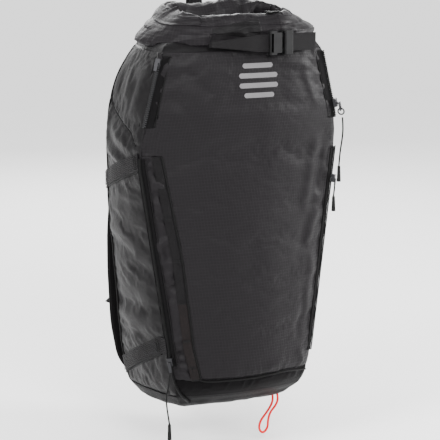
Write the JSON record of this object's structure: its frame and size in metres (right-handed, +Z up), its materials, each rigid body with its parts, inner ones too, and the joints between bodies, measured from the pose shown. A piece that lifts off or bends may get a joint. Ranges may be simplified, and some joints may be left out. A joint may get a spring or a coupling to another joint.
{
  "type": "avalanche airbag backpack",
  "caption": "Roll-top ski touring backpack with front pocket, zips, padded harness and a hand-triggered gas airbag system folded inside.",
  "frame": {"origin": "inside top of the haul loop, the point a hook carries, in the plane of the back panel and the middle of the pack's width", "axes": "+Z up, -Y out of the front pocket, +Y towards the wearer's back, +X towards the wearer's right"},
  "size_m": [0.3255, 0.3432, 0.6589],
  "materials": {
    "ripstop_shell": "ripstop nylon, charcoal black, fine grid",
    "body_fabric": "plain coated nylon, charcoal black, soft sheen",
    "base_fabric": "heavy coated nylon, black",
    "lining_fabric": "nylon lining",
    "mesh_foam": "3D spacer mesh over foam",
    "webbing": "ribbed polyester webbing, black",
    "buckle_plastic": "moulded acetal, black",
    "zip_tape": "zip tape with coil, black",
    "zip_metal": "black lacquered die-cast zinc",
    "pull_cord": "thin braided cord, black",
    "pull_end": "moulded rubber pull, black",
    "red_cord": "braided cord, bright red",
    "frame_plastic": "polyethylene sheet, natural",
    "stay_aluminium": "flat aluminium bar",
    "airbag_fabric": "coated nylon, orange, folded",
    "cartridge_metal": "steel gas bottle",
    "valve_metal": "machined aluminium",
    "hose_rubber": "reinforced hose and cable sleeve, black",
    "handle_plastic": "moulded grip, red"
  },
  "bodies": {
    "pack": {"airbag_left": "airbag_fabric", "airbag_right": "airbag_fabric", "back_pad": "mesh_foam", "back_panel": "lining_fabric", "base_panel": "base_fabric", "compartment_divider": "lining_fabric", "compression_straps_left": "webbing", "compression_straps_right": "webbing", "daisy_chain": "webbing", "frame_sheet": "frame_plastic", "frame_stays": "stay_aluminium", "front_gusset_left": "body_fabric", "front_pocket_panel": "ripstop_shell", "front_zip_left": "zip_tape", "front_zip_right": "zip_tape", "gas_hoses": "hose_rubber", "harness_webbings": "webbing", "haul_loop": "webbing", "ladder_locks": "buckle_plastic", "lumbar_pad": "mesh_foam", "red_cord_loop": "red_cord", "release_cable": "hose_rubber", "roll_buckle_female": "buckle_plastic", "roll_straps": "webbing", "roll_top": "body_fabric", "shoulder_strap_left": "mesh_foam", "shoulder_strap_right": "mesh_foam", "shoulder_zip_left": "zip_tape", "shoulder_zip_right": "zip_tape", "side_panel_left": "body_fabric", "side_panel_right": "body_fabric", "top_collar": "body_fabric", "trigger_dock": "buckle_plastic", "valve_body": "valve_metal"},
    "roll_buckle_plug": {"roll_buckle_male": "buckle_plastic"},
    "slider_shoulder_left": {"zip_slider_shoulder_left": "zip_metal"},
    "slider_shoulder_right": {"zip_slider_shoulder_right": "zip_metal"},
    "pull_ring": {"zip_pull_ring": "zip_metal", "pull_cord_shoulder_right": "pull_cord", "pull_end_shoulder_right": "pull_end"},
    "slider_front_left": {"zip_slider_front_left": "zip_metal", "pull_cord_front_left": "pull_cord", "pull_end_front_left": "pull_end"},
    "slider_front_right": {"zip_slider_front_right": "zip_metal", "pull_cord_front_right": "pull_cord", "pull_end_front_right": "pull_end"},
    "chest_strap": {"chest_guides": "buckle_plastic", "chest_webbing": "webbing", "chest_buckle_female": "buckle_plastic"},
    "chest_buckle_plug": {"chest_buckle_male": "buckle_plastic"},
    "hip_fin_left": {"hip_fin_left": "mesh_foam", "hip_webbing_left": "webbing", "hip_buckle_male": "buckle_plastic"},
    "hip_fin_right": {"hip_fin_right": "mesh_foam", "hip_webbing_right": "webbing", "hip_buckle_female": "buckle_plastic"},
    "trigger": {"trigger_handle": "handle_plastic"},
    "release_lever": {"release_lever": "valve_metal"},
    "piercing_pin": {"piercing_pin": "valve_metal"},
    "gas_cartridge": {"gas_cartridge": "cartridge_metal"}
  },
  "joints": [
    {"name": "roll_buckle_release", "type": "slide", "parent": "pack", "child": "roll_buckle_plug", "axis": [0.9781, 0.2079, 0], "range_m": [0, 0.03]},
    {"name": "shoulder_zip_left_slide", "type": "slide", "parent": "pack", "child": "slider_shoulder_left", "axis": [0.2381, -0.0276, 0.9709], "range_m": [-0.08, 0]},
    {"name": "shoulder_zip_right_slide", "type": "slide", "parent": "pack", "child": "slider_shoulder_right", "axis": [-0.2381, -0.0276, 0.9709], "range_m": [0, 0.068]},
    {"name": "pull_ring_swing", "type": "hinge", "parent": "slider_shoulder_right", "child": "pull_ring", "pos_m": [0.15839, -0.17642, -0.16078], "axis": [-0.6942, -0.6942, -0.19], "range_deg": [0, 60]},
    {"name": "front_zip_left_slide", "type": "slide", "parent": "pack", "child": "slider_front_left", "axis": [-0.142, 0.0383, 0.9891], "range_m": [0, 0.285]},
    {"name": "front_zip_right_slide", "type": "slide", "parent": "pack", "child": "slider_front_right", "axis": [0.142, 0.0383, 0.9891], "range_m": [-0.25, 0.038]},
    {"name": "chest_strap_height", "type": "slide", "parent": "pack", "child": "chest_strap", "axis": [0, 0, 1], "range_m": [-0.03, 0.03]},
    {"name": "chest_buckle_release", "type": "slide", "parent": "chest_strap", "child": "chest_buckle_plug", "axis": [-1, 0, 0], "range_m": [0, 0.024]},
    {"name": "hip_fin_left_fold", "type": "hinge", "parent": "pack", "child": "hip_fin_left", "pos_m": [-0.108, 0.024, -0.523], "axis": [0, 0, 1], "range_deg": [0, 110]},
    {"name": "hip_fin_right_fold", "type": "hinge", "parent": "pack", "child": "hip_fin_right", "pos_m": [0.108, 0.024, -0.523], "axis": [0, 0, -1], "range_deg": [0, 110]},
    {"name": "trigger_pull", "type": "slide", "parent": "pack", "child": "trigger", "axis": [0, 1, 0], "range_m": [0, 0.04]},
    {"name": "release_lever_turn", "type": "hinge", "parent": "pack", "child": "release_lever", "pos_m": [0.09, -0.052, -0.319], "axis": [0, -1, 0], "range_deg": [0, 51]},
    {"name": "piercing_pin_drive", "type": "slide", "parent": "pack", "child": "piercing_pin", "axis": [0, 0, -1], "range_m": [0, 0.0041]},
    {"name": "cartridge_unscrew", "type": "hinge", "parent": "pack", "child": "gas_cartridge", "pos_m": [0.102, -0.052, -0.462], "axis": [0, 0, 1], "continuous": true}
  ],
  "couplings": [
    {"joint": "release_lever_turn", "follows": "trigger_pull", "rad_per_m": 21.8},
    {"joint": "piercing_pin_drive", "follows": "trigger_pull", "ratio": 0.1}
  ]
}
